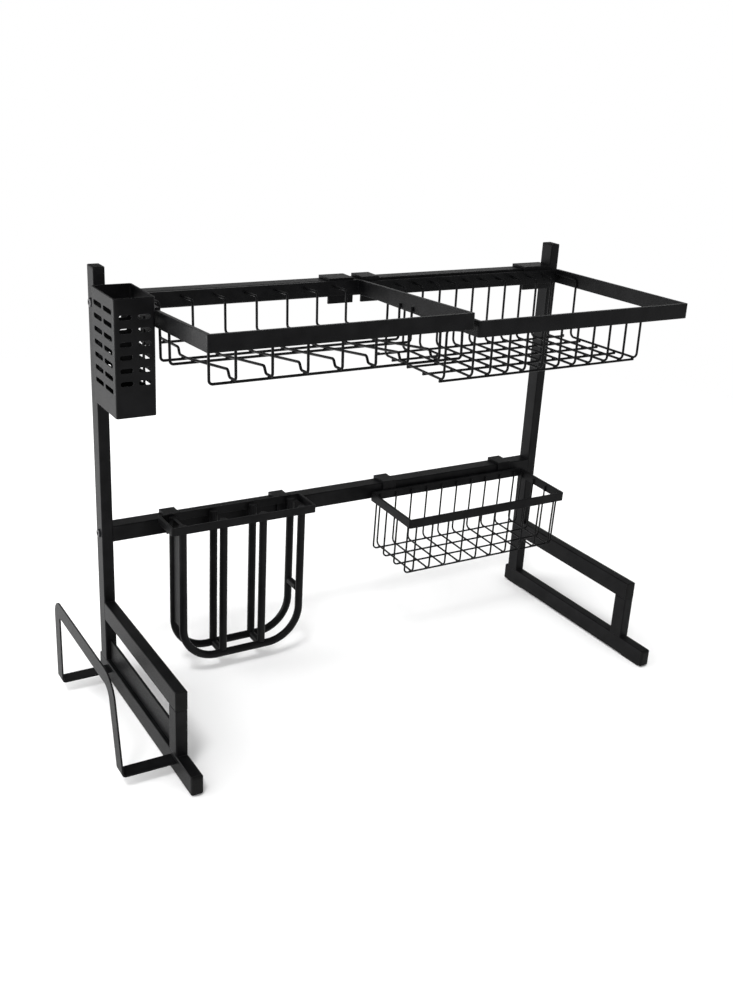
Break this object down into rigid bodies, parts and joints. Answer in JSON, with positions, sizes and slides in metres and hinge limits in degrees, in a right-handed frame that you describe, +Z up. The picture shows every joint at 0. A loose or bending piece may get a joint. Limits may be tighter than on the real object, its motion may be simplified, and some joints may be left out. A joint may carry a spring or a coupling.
{
  "type": "over sink dish rack",
  "caption": "Over sink dish rack: two posts on open feet carry two rails, from which wire baskets, a cutlery box, a board holder and a lid holder hang.",
  "frame": {"origin": "floor level, in the middle of the whole rack's footprint", "axes": "+X from the left foot to the right foot, +Y from the baskets' front bars to the posts, +Z up"},
  "size_m": [0.7254, 0.308, 0.52],
  "materials": {
    "black_powder_coat": "satin black powder coat on steel tube, bar and rod",
    "black_wire_coat": "smooth satin black coat on steel wire",
    "black_plastic": "matt moulded black plastic",
    "black_rubber": "matt black rubber",
    "black_bolt_steel": "black oxide steel fasteners",
    "plain_insert_steel": "plain steel inside the rails' ends"
  },
  "bodies": {
    "frame": {"left_post": "black_powder_coat", "left_post_cap": "black_plastic", "left_foot_base": "black_powder_coat", "left_foot_rail": "black_powder_coat", "left_short_post": "black_powder_coat", "left_foot_rail_cap": "black_plastic", "left_toe_cap": "black_plastic", "left_heel_cap": "black_plastic", "left_foot_pads": "black_rubber", "left_frame_bolts": "black_bolt_steel", "right_post": "black_powder_coat", "right_post_cap": "black_plastic", "right_foot_base": "black_powder_coat", "right_foot_rail": "black_powder_coat", "right_short_post": "black_powder_coat", "right_foot_rail_cap": "black_plastic", "right_toe_cap": "black_plastic", "right_heel_cap": "black_plastic", "right_foot_pads": "black_rubber", "right_frame_bolts": "black_bolt_steel", "top_rail": "black_powder_coat", "lower_rail": "black_powder_coat", "top_rail_inserts": "plain_insert_steel", "lower_rail_inserts": "plain_insert_steel", "lid_holder_frame": "black_powder_coat", "lid_holder_strip": "black_powder_coat"},
    "plate_rack": {"plate_rack_ring": "black_powder_coat", "plate_rack_hooks": "black_powder_coat", "plate_rack_wires": "black_wire_coat", "plate_rack_cross_wires": "black_wire_coat"},
    "cutlery_box": {"cutlery_box": "black_powder_coat", "cutlery_hanger": "black_powder_coat", "cutlery_rivets": "black_bolt_steel"},
    "bowl_basket": {"bowl_basket_ring": "black_powder_coat", "bowl_basket_hooks": "black_powder_coat", "bowl_basket_wires": "black_wire_coat", "bowl_basket_floor_wires": "black_wire_coat"},
    "lower_basket": {"lower_basket_ring": "black_powder_coat", "lower_basket_hooks": "black_powder_coat", "lower_basket_wires": "black_wire_coat", "lower_basket_cross_wires": "black_wire_coat"},
    "board_holder": {"board_holder_ring": "black_powder_coat", "board_holder_hooks": "black_powder_coat", "board_holder_rear_loop": "black_powder_coat", "board_holder_front_loop": "black_powder_coat", "board_holder_rear_bars": "black_powder_coat", "board_holder_front_bars": "black_powder_coat", "board_holder_spacers": "black_powder_coat", "board_holder_side_plate": "black_powder_coat"}
  },
  "joints": [
    {"name": "plate_rack_lift", "type": "slide", "parent": "frame", "child": "plate_rack", "axis": [0, 0, 1], "range_m": [0, 0.03]},
    {"name": "bowl_basket_lift", "type": "slide", "parent": "frame", "child": "bowl_basket", "axis": [0, 0, 1], "range_m": [0, 0.03]},
    {"name": "lower_basket_lift", "type": "slide", "parent": "frame", "child": "lower_basket", "axis": [0, 0, 1], "range_m": [0, 0.03]},
    {"name": "board_holder_lift", "type": "slide", "parent": "frame", "child": "board_holder", "axis": [0, 0, 1], "range_m": [0, 0.03]},
    {"name": "cutlery_box_lift", "type": "slide", "parent": "plate_rack", "child": "cutlery_box", "axis": [0, 0, 1], "range_m": [0, 0.05]}
  ]
}
